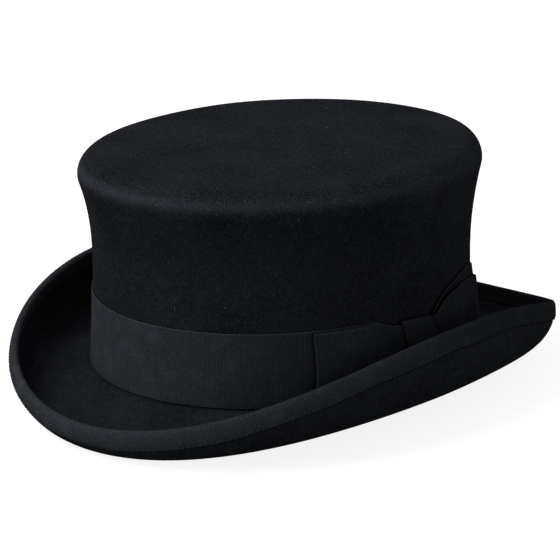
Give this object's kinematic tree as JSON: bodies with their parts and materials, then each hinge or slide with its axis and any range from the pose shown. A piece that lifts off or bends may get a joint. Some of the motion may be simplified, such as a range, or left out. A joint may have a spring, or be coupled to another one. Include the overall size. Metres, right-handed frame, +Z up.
{
  "type": "top hat",
  "caption": "Low-crowned felt top hat: bell crown and rolled brim blocked in one piece, bound edge, ribbon band with side bow, leather sweatband and satin lining.",
  "frame": {"origin": "centre of the head opening, level with the break where the crown turns into the brim", "axes": "+Z up towards the tip of the crown, -Y towards the front of the hat, +X towards the wearer's left, where the bow is"},
  "size_m": [0.2348, 0.3009, 0.1203],
  "materials": {
    "wool_felt": "stiffened black wool felt with a short nap",
    "grosgrain_ribbon": "black grosgrain, ribbed across its width",
    "sweatband_leather": "smooth black leather",
    "cotton_tape": "black woven cotton tape",
    "plastic_reed": "drawn natural plastic rod",
    "satin_ribbon": "black satin ribbon",
    "satin_lining": "black satin"
  },
  "bodies": {
    "root": {"felt_body": "wool_felt", "brim_binding": "grosgrain_ribbon", "hat_band": "grosgrain_ribbon", "bow_ribbon": "grosgrain_ribbon", "bow_knot": "grosgrain_ribbon", "sweatband": "sweatband_leather", "sweatband_welt": "cotton_tape", "sweatband_reed": "plastic_reed", "sweatband_joint_tape": "cotton_tape", "sweatband_bow": "satin_ribbon", "lining_side": "satin_lining", "lining_tip": "satin_lining"}
  },
  "joints": []
}
